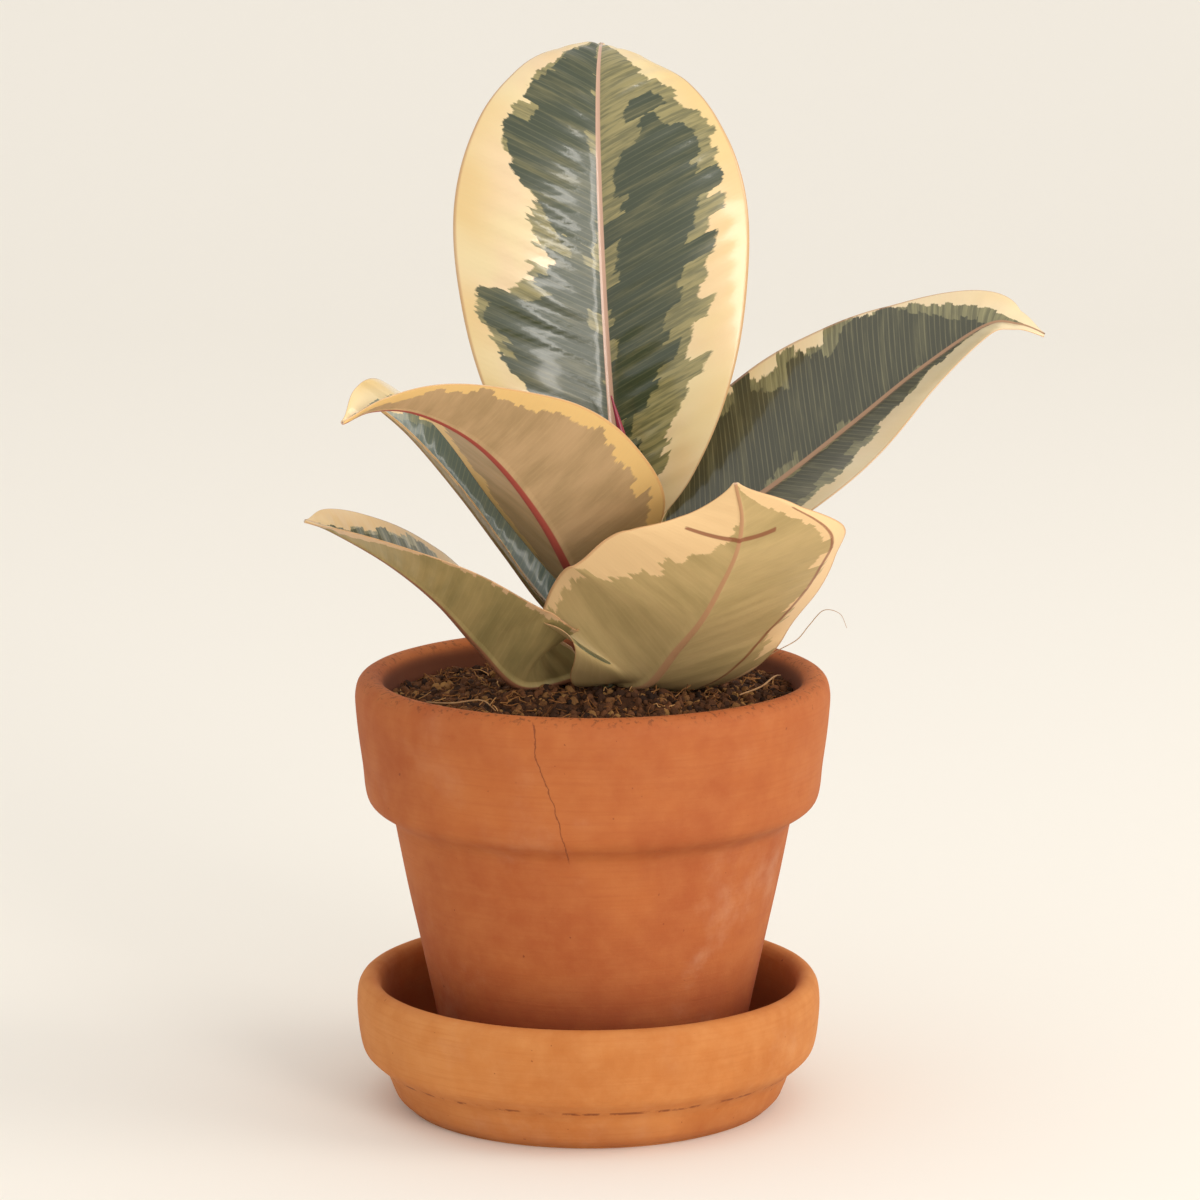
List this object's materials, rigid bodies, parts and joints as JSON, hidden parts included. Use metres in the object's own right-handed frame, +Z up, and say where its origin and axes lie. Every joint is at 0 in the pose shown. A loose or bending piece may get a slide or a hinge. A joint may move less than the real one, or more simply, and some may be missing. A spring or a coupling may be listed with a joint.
{
  "type": "potted rubber plant",
  "caption": "Young variegated rubber plant with arching leathery leaves in a tapered terracotta pot, standing on a stepped terracotta saucer.",
  "frame": {"origin": "centre of the saucer's flat underside", "axes": "+Z up along the tallest leaf, +X towards the leaf that reaches furthest to the side, -Y towards the front leaf whose underside faces forward"},
  "size_m": [0.1996, 0.1576, 0.289],
  "materials": {
    "saucer_terracotta": "unglazed fired clay, matte",
    "pot_terracotta": "unglazed fired clay, matte, faintly scuffed",
    "soil": "moist peat and coir crumbs",
    "stem_bark": "green-brown bark, satin",
    "red_sheath": "smooth, satin",
    "leaf_blade": "waxy upper side, matte underside, cream margin",
    "coir": "dry fibre, matte"
  },
  "bodies": {
    "root": {"saucer": "saucer_terracotta", "pot": "pot_terracotta", "potting_soil": "soil", "stem": "stem_bark", "bud_sheath": "red_sheath", "leaf_upright": "leaf_blade", "leaf_right": "leaf_blade", "leaf_leaning": "leaf_blade", "leaf_behind": "leaf_blade", "leaf_low": "leaf_blade", "leaf_front": "leaf_blade", "coir_fibre_left": "coir", "coir_fibre_front": "coir", "coir_fibre_right": "coir", "root_hair": "coir"}
  },
  "joints": []
}
